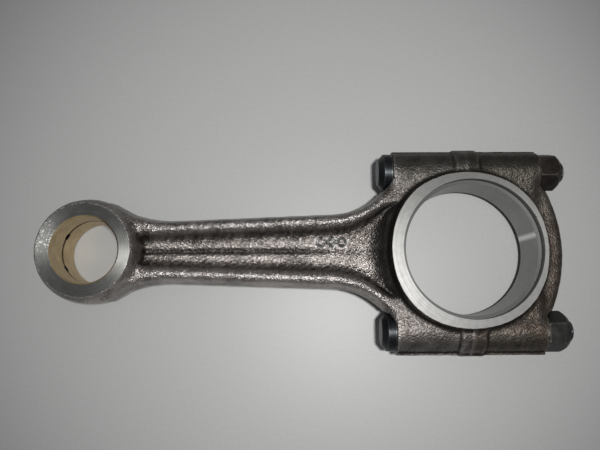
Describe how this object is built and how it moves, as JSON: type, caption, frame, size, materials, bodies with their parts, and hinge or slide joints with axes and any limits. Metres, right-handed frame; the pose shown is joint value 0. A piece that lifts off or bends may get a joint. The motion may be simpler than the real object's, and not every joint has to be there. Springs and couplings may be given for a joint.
{
  "type": "connecting rod",
  "caption": "Forged I-section connecting rod with a bolted big-end cap, split bearing shells and a bronze small-end bush with an oil groove.",
  "frame": {"origin": "on the crankpin axis of the big end, half-way across its width", "axes": "+Z along both bores, -X towards the piston-pin end, +X towards the cap, +Y completes the right-handed frame"},
  "size_m": [0.2228, 0.0884, 0.028],
  "materials": {
    "forged_steel": "as-forged and shot-blasted, with ground end faces",
    "forged_cap_steel": "as-forged, lightly rusted, with ground end faces",
    "bronze": "bored bronze",
    "bearing_shell_upper": "satin bearing lining on a steel back",
    "bearing_shell_lower": "satin bearing lining on a steel back",
    "bolt_steel_left": "black oxide",
    "bolt_steel_right": "black oxide",
    "nut_steel_left": "black oxide, worn to brown",
    "nut_steel_right": "black oxide"
  },
  "bodies": {
    "rod_body": {"rod": "forged_steel", "bush": "bronze", "shell_rod_side": "bearing_shell_upper", "bolt_left": "bolt_steel_left", "bolt_right": "bolt_steel_right"},
    "cap_body": {"cap": "forged_cap_steel", "shell_cap_side": "bearing_shell_lower"},
    "nut_left_body": {"nut_left": "nut_steel_left"},
    "nut_right_body": {"nut_right": "nut_steel_right"}
  },
  "joints": [
    {"name": "cap_slide", "type": "slide", "parent": "rod_body", "child": "cap_body", "axis": [1, 0, 0], "range_m": [0, 0.045]},
    {"name": "nut_left_turn", "type": "hinge", "parent": "cap_body", "child": "nut_left_body", "pos_m": [0.0358, 0.034, 0], "axis": [1, 0, 0], "continuous": true},
    {"name": "nut_right_turn", "type": "hinge", "parent": "cap_body", "child": "nut_right_body", "pos_m": [0.0358, -0.034, 0], "axis": [1, 0, 0], "continuous": true}
  ]
}
